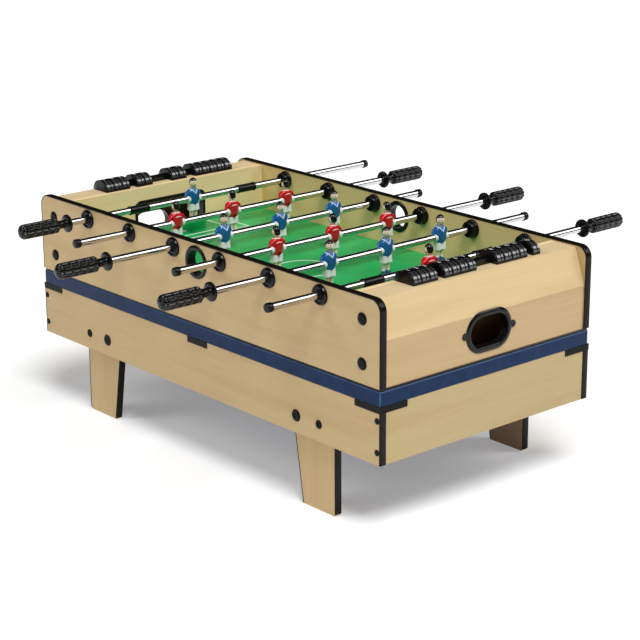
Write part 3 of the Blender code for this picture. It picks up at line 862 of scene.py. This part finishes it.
def bead_ring(along):
    """Cross-section of a bead at one place along it, as (across, up) in metres."""
    end = min(along, BEAD_LENGTH / MM - along)
    rounding = 1.0 - 0.045 * max(0.0, 1.0 - end / 0.9) ** 2
    points = []
    for i in range(BEAD_STEPS + 1):
        a = math.pi * i / BEAD_STEPS
        slope = abs(math.degrees(a) - 90)
        shoulder = clamp((slope - SADDLE_START) / SADDLE_FADE) * clamp((SADDLE_END - slope) / SADDLE_FADE)
        size = rounding * (1.0 - SADDLE_DEPTH * shoulder * (1.0 - rib_height(along)))
        up = BEAD_SKIRT + BEAD_RISE * math.sin(a) ** BEAD_CURVE * size
        points.append((BEAD_HALF * math.cos(a) * size, up))
    half = BEAD_HALF * rounding
    points += [(-half, BEAD_FOOT), (-BAR_HALF, BEAD_FOOT), (-BAR_HALF, BAR_TOP)]
    return points + [(BAR_HALF, BAR_TOP), (BAR_HALF, BEAD_FOOT), (half, BEAD_FOOT)]


def digit_faces(shape, number, up, slot):
    """A small printed number on top of a bead, from Blender's own typeface."""
    curve = bpy.data.curves.new("digit", "FONT")
    curve.body = str(number)
    curve.size = 0.0098 if number < 10 else 0.0085
    curve.offset = 0.0002
    curve.extrude = 0.00008
    curve.resolution_u = 3
    curve.align_x = curve.align_y = "CENTER"
    label = place_object("digit", curve)
    bpy.context.view_layer.update()
    graph = bpy.context.evaluated_depsgraph_get()
    mesh = bpy.data.meshes.new_from_object(label.evaluated_get(graph))
    mesh.transform(Matrix.Translation((0, BEAD_LENGTH / 2, BEAD_SKIRT + BEAD_RISE)) @ up.to_4x4())
    start = len(shape.faces)
    shape.from_mesh(mesh)
    shape.faces.ensure_lookup_table()
    for face in shape.faces[start:]:
        face.material_index = slot
    bpy.data.objects.remove(label)
    bpy.data.curves.remove(curve)
    bpy.data.meshes.remove(mesh)


def bead(name, number, way, body, at, materials, replaces=()):
    """One bead. materials holds the black of its body, the white of its number and a lighter, glossier black
    on the ribs of its shoulders, a painted highlight.
    """
    shape = bmesh.new()
    rings = []
    for along in bead_stations():
        rings.append([(u, along * MM, v) for u, v in bead_ring(along)])
    skin(shape, rings)
    # Painted highlight: rib faces on the shoulders take the lighter black
    for face in shape.faces:
        centre = face.calc_center_median()
        on_shoulder = centre.z > BEAD_SKIRT + 0.001 and abs(centre.x) > DIGIT_HALF_WIDTH
        if on_shoulder and rib_height(centre.y / MM) == 1.0:
            face.material_index = 2
    reading = Matrix.Rotation(way * math.pi / 2, 3, "Z")
    digit_faces(shape, number, reading, 1)
    return show(name, shape, materials, body=body, at=at, replaces=replaces)


# Groups of touching beads: (first edge along Y, number of beads, whether the group slides)
COUNTER_GROUPS = {
    "left": [(-0.130, 3, False), (-0.064, 2, False), (0.0115, 2, True), (0.0645, 5, False)],
    "right": [(-0.131, 3, False), (-0.0675, 4, True), (0.0430, 4, False), (0.1225, 1, False)],
}


def counters(black, white, rib_highlight):
    """On each shelf a rail, its parked beads and the beads that slide."""
    for end, way in ENDS.items():
        x = middle_of(f"score_rail_{end}").x
        half, base, top = BAR_HALF - 0.0001, SHELF + 0.0003, SHELF + BAR_TOP - 0.0001
        first, last = COUNTER_GROUPS[end][0][0], COUNTER_GROUPS[end][-1]
        ends = (first + 0.0006, last[0] + last[1] * BEAD_PITCH + 0.0012)
        shape = bmesh.new()
        outline = [(-half, base), (half, base), (half, top), (-half, top)]
        rings = [[(x + u, y, v) for u, v in outline] for y in ends]
        skin(shape, rings)
        name = f"score_bar_{end}"
        show(name, shape, [black], replaces=[f"score_rail_{end}"])
        number = 0
        for first_edge, count, slides in COUNTER_GROUPS[end]:
            for i in range(count):
                number += 1
                body = f"score_beads_{end}" if slides else "table"
                hidden = [f"score_beads_{end}"] if slides else []
                at = (x, first_edge + i * BEAD_PITCH + 0.0002, SHELF)
                bead(f"bead_{end}_{number}", number, way, body, at, [black, white, rib_highlight], hidden)


# Rods, handles and bearings, in millimetres

GRIP_LENGTH = 75.0
GRIP_RADIUS = 12.8
GRIP_FLUTES = 10
GROOVE_DEPTH = 1.7
GRIP_RINGS = (23.5, 37.3, 51.1, 64.9)
FLUTE_STEPS = 10
GRIP_NOSE, GRIP_SHOULDER = 11.0, 5.0
NECK_START = 8.6
TIP_STOPS = [0.0, 0.25, 0.8, 1.7, 3.0, 4.6, 6.4, 8.4, 10.5, 13.0, 16.0, 19.0]
SHOULDER_STOPS = [68.5, 70.0, 71.4, 72.6, 73.6, 74.4, GRIP_LENGTH]
GROOVE_STOPS = (-1.9, -1.3, -0.8, -0.35, 0.35, 0.8, 1.3, 1.9)
PAD_STOPS = (4.0, 9.0)
NECK = [
    (0, 73.0), (8.6, 73.0), (8.2, 75.2), (7.3, 76.4), (6.9, 78.2), (6.9, 90.4), (7.6, 91.3),
    (10.4, 91.9), (14.0, 92.3), (14.9, 92.9), (15.15, 93.9), (15.05, 95.2), (14.4, 95.9), (13.4, 96.0),
    (12.4, 95.1), (9.2, 94.7), (8.6, 95.9), (7.3, 96.2), (6.9, 95.6), (6.3, 95.4), (6.3, 90.0),
    (0, 90.0),
]


def grip_radius(along):
    """The grip's outline without its grooves: a round tip, a long barrel and a shoulder."""
    if along < GRIP_NOSE:
        return GRIP_RADIUS * math.sqrt(max(0.0, 1.0 - (1.0 - along / GRIP_NOSE) ** 2.4))
    if along > GRIP_LENGTH - GRIP_SHOULDER:
        t = (along - GRIP_LENGTH + GRIP_SHOULDER) / GRIP_SHOULDER
        return GRIP_RADIUS - (GRIP_RADIUS - NECK_START) * t**2.2
    return GRIP_RADIUS


def grip_stations():
    """Places along the grip that get a ring of points: close together at the tip and the grooves."""
    stops = TIP_STOPS + SHOULDER_STOPS
    for ring in GRIP_RINGS:
        stops += [ring + offset for offset in GROOVE_STOPS]
        if ring < GRIP_RINGS[-1]:
            stops += [ring + offset for offset in PAD_STOPS]
    return sorted(stops)


def grip_mesh(material):
    """Rubbed plastic grip: pads between lengthwise flutes and ring grooves."""
    shape = bmesh.new()
    steps = GRIP_FLUTES * FLUTE_STEPS
    rings = []
    for along in grip_stations():
        outline = grip_radius(along)
        ring_gap = min(abs(along - ring) for ring in GRIP_RINGS)
        pad_along = smooth_step(ring_gap, 0.3, 1.9)
        ring = []
        for k, a in enumerate(round_angles(steps)):
            beside = abs((k / FLUTE_STEPS + 0.5) % 1.0 - 0.5) * 2
            pad = pad_along * smooth_step(beside, 0.04, 0.55)
            radius = max(0.0, outline - (1.0 - pad) * GROOVE_DEPTH * min(1.0, outline / 8.0))
            ring.append((radius * math.cos(a), radius * math.sin(a), along))
        rings.append(ring)
    rings[0] = [(0.0, 0.0, 0.0)] * steps
    rings.append([(0.0, 0.0, GRIP_LENGTH)] * steps)
    skin(shape, rings, caps=False)
    return make_mesh("grip", shape, [material], scale=MM)


# Turned outlines of the rod's parts and its bearings, as (radius, distance along) in millimetres
ROD_CAP = [
    (0, 0), (5.2, 0.0), (6.3, 0.3), (7.1, 1.2), (7.3, 2.2), (7.3, 9.0), (7.0, 9.8), (6.2, 10.0),
    (6.05, 8.5), (0, 8.5),
]
STOP = [
    (6.1, -19.5), (7.4, -19.5), (7.8, -19.0), (7.8, -17.4), (7.3, -16.9), (7.2, -15.0), (7.2, 15.0),
    (7.3, 16.9), (7.8, 17.4), (7.8, 19.0), (7.4, 19.5), (6.1, 19.5),
]
OUTER_BEARING = [
    (6.5, 1.6), (7.0, 3.0), (7.8, 3.6), (8.8, 3.4), (9.3, 2.4), (11.4, 2.6), (12.2, 4.6), (13.2, 5.2),
    (14.6, 4.8), (15.7, 3.2), (16.1, 1.4), (16.1, 0.1), (10.9, 0.1), (10.9, -5.9), (6.5, -5.9),
]
INNER_BEARING = [
    (6.5, 7.6), (8.8, 8.2), (9.6, 11.4), (10.8, 12.4), (12.2, 12.2), (13.4, 11.0), (13.8, 8.6),
    (13.9, 5.2), (14.2, 4.5), (15.0, 4.1), (15.6, 3.1), (15.8, 1.6), (15.6, 0.1), (10.9, 0.1),
    (10.9, -5.9), (6.5, -5.9),
]


SHAFT_RADIUS = 6.0
SHAFT_BORE = 4.9
STOP_OFFSET = 0.118
KEEPER_RODS = (1, 6)


def rod_stops(number, x, z, black):
    """The two sleeves that stop a keeper's rod at the bearings."""
    middle = middle_of(f"man_{number}_keeper").y
    for place, sign in SIDES.items():
        at = (x, middle + sign * STOP_OFFSET, z)
        name = f"stop_{number}_{place}"
        turned_piece(name, STOP, black, at, (0, 1, 0), 40, True, body=f"rod_{number}")


def rods_and_handles(steel, black, rubber):
    """Each rod as a tube with its end cap, grip and collar, measured from its CAD nodes."""
    grip = grip_mesh(rubber)
    for number in RODS:
        body = f"rod_{number}"
        low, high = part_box(body)
        handle_low, handle_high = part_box(f"handle_{number}")
        side = 1 if handle_high.y > HALF_WIDTH else -1
        x, z = (low.x + high.x) / 2, (low.z + high.z) / 2
        inner = high.y if side > 0 else low.y
        free = (x, low.y if side > 0 else high.y, z)
        tip = (x, handle_high.y if side > 0 else handle_low.y, z)
        out, back = (0, side, 0), (0, -side, 0)
        length = (inner - free[1]) * side / MM
        shaft = [(0, 9.0), (SHAFT_RADIUS, 9.0), (SHAFT_RADIUS, length)]
        shaft += [(SHAFT_BORE, length), (SHAFT_BORE, length - 8), (0, length - 8)]
        name = f"shaft_{number}"
        turned_piece(name, shaft, steel, free, out, 56, body=body, slot="chrome_steel", replaces=[body])
        turned_piece(f"rod_cap_{number}", ROD_CAP, black, free, out, 40, body=body)
        turn = Z.rotation_difference(Vector(back))
        piece(f"grip_{number}", grip, body, "black_plastic", tip, turn, [f"handle_{number}"])
        turned_piece(f"collar_{number}", NECK, black, tip, back, 56, body=body)
        if number in KEEPER_RODS:
            rod_stops(number, x, z, black)


def bearings(black):
    """Flange and bush outside, cup inside, for both bearings of every rod."""
    for number in RODS:
        for side, sign in SIDES.items():
            node = f"bearing_{number}_{side}"
            bore = middle_of(node)
            ride = {"steps": 56, "closed": True, "body": f"bearings_{number}", "replaces": [node]}
            at = (bore.x, sign * HALF_WIDTH, bore.z)
            turned_piece(f"bearing_outer_{number}_{side}", OUTER_BEARING, black, at, (0, sign, 0), **ride)
            at = (bore.x, sign * (HALF_WIDTH - BOARD), bore.z)
            turned_piece(f"bearing_inner_{number}_{side}", INNER_BEARING, black, at, (0, -sign, 0), **ride)


# Playing figures

SHIRT_SLOT, TRIM_SLOT, WHITE_SLOT, SKIN_SLOT, HAIR_SLOT, SHOE_SLOT, DARK_SLOT = range(7)


def oval(height, half_y, half_x, x, y=0.0, power=2.5, count=28):
    """A squarish oval at one height."""
    points = []
    for a in round_angles(count):
        c, s = math.cos(a), math.sin(a)
        across = math.copysign(abs(s) ** (2 / power), s)
        ahead = math.copysign(abs(c) ** (2 / power), c)
        points.append((x + half_x * ahead, y + half_y * across, height))
    return points


def stack(shape, rows, slot, y=0.0, power=2.5, count=28):
    skin(shape, [oval(height, across, ahead, x, y, power, count) for height, across, ahead, x in rows], slot)


def head_reach(way):
    """A plain doll's head: a rounder skull above a narrower jaw."""
    jaw = max(0.0, -way.z)
    return 1.0 - 0.13 * jaw * (1.0 - 0.35 * max(0.0, way.x))


def hair_reach(way):
    """Short hair: outside the head above a sloping hairline, hidden inside it below."""
    hairline = 0.42 - 1.00 * smooth_step(-way.x, -0.1, 0.7)
    over = smooth_step(way.z - hairline, -0.08, 0.10)
    fringe = 0.05 * smooth_step(way.x, 0.45, 0.85) * (1.0 - smooth_step(abs(way.z - 0.52), 0.06, 0.22))
    return 0.78 + (0.27 + fringe) * over


def limbs(shape, sign):
    """One side of the figure: sleeve, cuff, side panel, shorts, leg, sock and shoe."""
    arm = [(x, sign * y, z) for x, y, z in ARM]
    tube(shape, arm, [4.0, 5.2, 5.5, 5.2], SHIRT_SLOT, steps=22, flat=0.52)
    cuff = [(x, sign * y, z) for x, y, z in CUFF]
    tube(shape, cuff, [5.45, 5.4], TRIM_SLOT, steps=22, flat=0.51)
    ball(shape, (0.3, sign * 10.6, -2.4), (4.4, 3.0, 7.8), WHITE_SLOT, 20)
    stack(shape, SHORT_LEG, WHITE_SLOT, sign * SHORT_LEG_SPREAD, power=3.0)
    stack(shape, LEG, SKIN_SLOT, sign * LEG_SPREAD, power=2.2, count=20)
    stack(shape, SOCK, WHITE_SLOT, sign * LEG_SPREAD, power=2.2, count=20)
    stack(shape, SHOE, SHOE_SLOT, sign * SHOE_SPREAD, power=2.6, count=24)
    boss_ring(shape, sign)


def eye_and_ear(shape, sign):
    ear = (HEAD_CENTRE[0] - 0.6, sign * 6.4, HEAD_CENTRE[1] - 0.8)
    ball(shape, ear, (1.5, 0.8, 2.1), SKIN_SLOT, 10)
    ball(shape, (7.45, sign * 2.35, 28.6), (0.40, 0.52, 0.52), DARK_SLOT, 8)
    brow = [(7.6, sign * 1.4, 30.1), (7.4, sign * 2.5, 30.4), (6.8, sign * 3.5, 30.1)]
    tube(shape, brow, [0.14, 0.20, 0.14], HAIR_SLOT, steps=6)


def head(shape):
    """Neck, head, hair, nose and mouth."""
    tube(shape, [(0, 0, 14.8), (0.2, 0, 18.0), (0.5, 0, 22.5)], [4.0, 3.6, 3.6], SKIN_SLOT, steps=20)
    centre = (HEAD_CENTRE[0], 0.0, HEAD_CENTRE[1])
    ball(shape, centre, HEAD_HALF, SKIN_SLOT, 28, head_reach)
    hair_centre = (HEAD_CENTRE[0] - 0.2, 0.0, HEAD_CENTRE[1] + 0.2)
    ball(shape, hair_centre, HEAD_HALF, HAIR_SLOT, 36, hair_reach)
    nose = [(7.7, 0, 29.2), (8.5, 0, 27.4), (8.6, 0, 26.7), (7.7, 0, 26.2)]
    tube(shape, nose, [0.5, 0.85, 0.95, 0.6], SKIN_SLOT, 10)
    mouth = [(6.9, -1.3, 23.7), (7.3, 0, 23.6), (6.9, 1.3, 23.7)]
    tube(shape, mouth, [0.2, 0.36, 0.2], DARK_SLOT, 6)


def collar_path():
    """The collar's closed path over the shirt, its corners joined by short steps."""
    corners = COLLAR + [COLLAR_POINT]
    half = []
    for (x, y), (next_x, next_y) in zip(corners, corners[1:]):
        for step in range(COLLAR_STEPS):
            share = step / COLLAR_STEPS
            place = (x + share * (next_x - x), y + share * (next_y - y))
            half.append((*place, shirt_height(*place)))
    point = (*COLLAR_POINT, shirt_height(*COLLAR_POINT))
    return half + [point] + [(x, -y, z) for x, y, z in half[:0:-1]]


def figure_mesh(name, materials):
    """One figure facing +X in millimetres, with its rod's axis through the origin along Y."""
    shape = bmesh.new()
    stack(shape, SHIRT, SHIRT_SLOT, power=SHIRT_POWER, count=40)
    for sign in (-1, 1):
        limbs(shape, sign)
        eye_and_ear(shape, sign)
    head(shape)
    tube(shape, BACK_BAND, [0.6, 1.15, 1.25, 1.15, 0.6], TRIM_SLOT, 10)
    collar_band(shape, collar_path())
    back_screw(shape)
    return make_mesh(name, shape, materials, scale=MM)


def shirt_height(x, y):
    """Height of the shirt's upper surface over a place, in millimetres."""
    above = None
    for height, across, ahead, shift in reversed(SHIRT):
        reach = abs(y / across) ** SHIRT_POWER + abs((x - shift) / ahead) ** SHIRT_POWER
        if reach <= 1.0:
            if above is None:
                return height
            share = (1.0 - reach) / (above[1] - reach)
            return height + share * (above[0] - height)
        above = (height, reach)
    return SHIRT[0][0]


# Section of the collar, as (across the band, off the shirt) in millimetres
COLLAR_SECTION = ((-1.2, 0.1), (-0.9, 0.5), (0.9, 0.5), (1.2, 0.1), (0.9, -0.8), (-0.9, -0.8))
SCREW_LEVEL = -6.2


def collar_band(shape, ring):
    """A flat trim band lying on the shirt round the neck."""
    places = [Vector(p) for p in ring]
    count = len(places)
    rings = []
    for i, here in enumerate(places):
        along = (places[(i + 1) % count] - places[i - 1]).normalized()
        outwards = Vector((here.x, here.y, 0.0)).normalized()
        normal = (outwards + Vector((0, 0, 0.7))).normalized()
        across = along.cross(normal).normalized()
        normal = across.cross(along).normalized()
        rings.append([here + across * u + normal * w for u, w in COLLAR_SECTION])
    skin(shape, rings, TRIM_SLOT, closed=True)


def boss_ring(shape, sign):
    """White boss where the rod leaves the figure."""
    profile = [(6.5, 9.0), (6.7, 9.0), (6.8, 11.0), (6.8, 13.9), (6.7, 14.5), (6.6, 14.6), (6.5, 14.3)]
    rings = []
    for radius, along in profile:
        rings.append([(radius * math.cos(a), sign * along, radius * math.sin(a)) for a in round_angles(32)])
    skin(shape, rings, WHITE_SLOT, closed=True)


def back_screw(shape):
    """Screw in the small of the back that fixes the figure to its rod."""
    profile = [(0, -5.8), (1.0, -5.8), (1.3, -6.9), (2.5, -7.3), (2.8, -6.9), (2.8, -5.0), (0, -5.0)]
    rings = []
    for radius, depth in profile:
        circle = [(radius * math.cos(a), radius * math.sin(a)) for a in round_angles(16)]
        rings.append([(depth, y, SCREW_LEVEL + z) for y, z in circle])
    skin(shape, rings, DARK_SLOT, caps=False)


def figures(team_materials):
    """Blue men face the right goal and red men face the left one."""
    meshes = {team: figure_mesh(f"figure_{team}", kit) for team, kit in team_materials.items()}
    for number in RODS:
        team = "blue" if number in BLUE_RODS else "red"
        turn = Matrix.Rotation(0.0 if team == "blue" else math.pi, 3, "Z")
        names = ["keeper"] if number in KEEPER_RODS else ["near", "middle", "far"]
        bore = middle_of(f"bearing_{number}_near")
        for name in names:
            node = f"man_{number}_{name}"
            at = (bore.x, middle_of(node).y, bore.z)
            shown = f"figure_{number}_{name}"
            piece(shown, meshes[team], f"rod_{number}", f"{team}_figure", at, turn, [node])


# Stage

CAMERA_AT = (2.3473, -1.9950, 1.1570)
CAMERA_YAW = math.radians(49.08)
CAMERA_PITCH = math.radians(17.38)
CAMERA_ROLL = math.radians(-0.272)
CAMERA_LENS = 108.4
FLOOR_HALF = 40
FLOOR_GLOW = 0.27

# The sky brightens between two heights of its direction, from a dim horizon to a lit ceiling
SKY_FROM, SKY_TO = 0.45, 0.95
HORIZON_LIGHT, CEILING_LIGHT = 0.17, 0.60


def camera():
    data = bpy.data.cameras.new("camera")
    data.lens = CAMERA_LENS
    data.sensor_width = 36.0
    data.clip_end = 100.0
    cam = place_object("camera", data)
    level = Matrix.Rotation(CAMERA_YAW, 4, "Z") @ Matrix.Rotation(math.pi / 2 - CAMERA_PITCH, 4, "X")
    cam.matrix_world = Matrix.Translation(CAMERA_AT) @ level @ Matrix.Rotation(CAMERA_ROLL, 4, "Z")
    bpy.context.scene.camera = cam


def floor():
    shape = bmesh.new()
    half = FLOOR_HALF
    prism(shape, [(-half, -half), (half, -half), (half, half), (-half, half)], -0.02, -0.0005)
    look = Look("studio_floor", (0.93, 0.93, 0.93), roughness=0.9)
    look.paint(look.ramp(look.noise(3.0), [(0.3, (0.92, 0.92, 0.92)), (0.7, (0.94, 0.94, 0.94))]))
    look.shader.inputs["Emission Color"].default_value = (1.0, 1.0, 1.0, 1.0)
    look.shader.inputs["Emission Strength"].default_value = FLOOR_GLOW
    place_object("studio_floor", make_mesh("studio_floor", shape, [look.material]))


def studio_light(name, towards, strength, width):
    """A far soft light; towards points from the table to it and width is its angle in degrees."""
    data = bpy.data.lights.new(name, "SUN")
    data.energy = strength
    data.angle = math.radians(width)
    light = place_object(name, data)
    light.rotation_euler = Vector(towards).to_track_quat("Z", "Y").to_euler()


def lights():
    """A sky that is lighter overhead, and three wide soft lights."""
    world = bpy.data.worlds.new("studio")
    world.use_nodes = True
    nodes, links = world.node_tree.nodes, world.node_tree.links
    place = nodes.new("ShaderNodeTexCoord")
    split = nodes.new("ShaderNodeSeparateXYZ")
    height = nodes.new("ShaderNodeMapRange")
    span = {"From Min": SKY_FROM, "From Max": SKY_TO, "To Min": HORIZON_LIGHT, "To Max": CEILING_LIGHT}
    for key, value in span.items():
        height.inputs[key].default_value = value
    links.new(place.outputs["Generated"], split.inputs["Vector"])
    links.new(split.outputs["Z"], height.inputs["Value"])
    links.new(height.outputs["Result"], nodes["Background"].inputs["Strength"])
    bpy.context.scene.world = world
    studio_light("right_softbox", (0.45, -0.20, 0.87), 2.35, 26)
    studio_light("front_softbox", (-0.35, -0.70, 0.62), 0.72, 30)
    studio_light("rear_softbox", (0.50, 0.62, 0.60), 0.82, 32)


def stage():
    camera()
    floor()
    lights()
    bpy.context.scene.view_settings.view_transform = "Standard"


TEAM_COLOURS = [
    ("figure", 0.20, {"blue": ((0.012, 0.135, 0.385), 0.75), "red": ((0.720, 0.010, 0.020), 0.78)}),
    ("trim", 0.30, {"blue": ((0.55, 0.72, 0.88), 0.9), "red": ((0.88, 0.58, 0.56), 0.9)}),
    ("shoe", 0.28, {"blue": ((0.008, 0.060, 0.150), 0.85), "red": ((0.260, 0.012, 0.016), 0.85)}),
]


def figure_kits():
    """The materials of a figure for each team, in the order of the figure's slots."""
    white = plastic("figure_white", (0.84, 0.87, 0.85), roughness=0.30, shade=0.92)
    skin_tone = plastic("figure_skin", (1.0, 0.80, 0.62), roughness=0.30, shade=0.95)
    hair = plastic("figure_hair", (0.006, 0.006, 0.006), roughness=0.22)
    dark = plastic("figure_dark", (0.016, 0.010, 0.009), roughness=0.4)
    kits = {}
    for team in ("blue", "red"):
        own = []
        for part, roughness, colours in TEAM_COLOURS:
            colour, shade = colours[team]
            own.append(plastic(f"{part}_{team}", colour, roughness=roughness, shade=shade))
        shirt, trim, shoe = own
        kits[team] = [shirt, trim, white, skin_tone, hair, shoe, dark]
    return kits


def grip_rubber():
    colour = (0.002, 0.002, 0.0022)
    return plastic("grip_black", colour, roughness=0.13, texture=1200.0, depth=0.00001, specular=0.42)


def edging_plastic():
    colour = (0.008, 0.0066, 0.0045)
    return plastic("edging_black", colour, 0.20, texture=1500.0, depth=0.00002, specular=0.15)


def build():
    black = plastic("black_plastic", (0.005, 0.005, 0.0055), roughness=0.20, specular=0.26)
    dull = plastic("dull_black", (0.006, 0.0058, 0.0052), roughness=0.38, specular=0.12)
    # Painted highlight: a lighter black, also glossier, for the beads' shoulder ribs
    rib_highlight = plastic("rib_highlight_black", (0.040, 0.040, 0.042), roughness=0.26, coat=1.0, specular=1.0)
    white_ink = laminate("white_ink", (0.74, 0.78, 0.74), (0.84, 0.87, 0.84), 0.34, 0.35)
    digit_white = plastic("digit_white", (0.80, 0.80, 0.80), roughness=0.45)
    navy = laminate("navy", (0.008, 0.024, 0.076), (0.012, 0.033, 0.096), 0.36, 0.10)
    # Painted highlight: the lighter blue of the navy board's rims and corners
    navy_highlight = laminate("navy_highlight", (0.030, 0.070, 0.160), (0.050, 0.110, 0.230), 0.34, 0.22)
    paint_boards()
    board_edges(edging_plastic())
    middle_band(navy, navy_highlight, black, raw_board())
    field_print(white_ink)
    screw_caps(dull)
    brackets(dull)
    serving_rings(black)
    goal_liners(black)
    return_rings(black)
    counters(black, digit_white, rib_highlight)
    rods_and_handles(chrome(), black, grip_rubber())
    bearings(black)
    figures(figure_kits())


build()
stage()
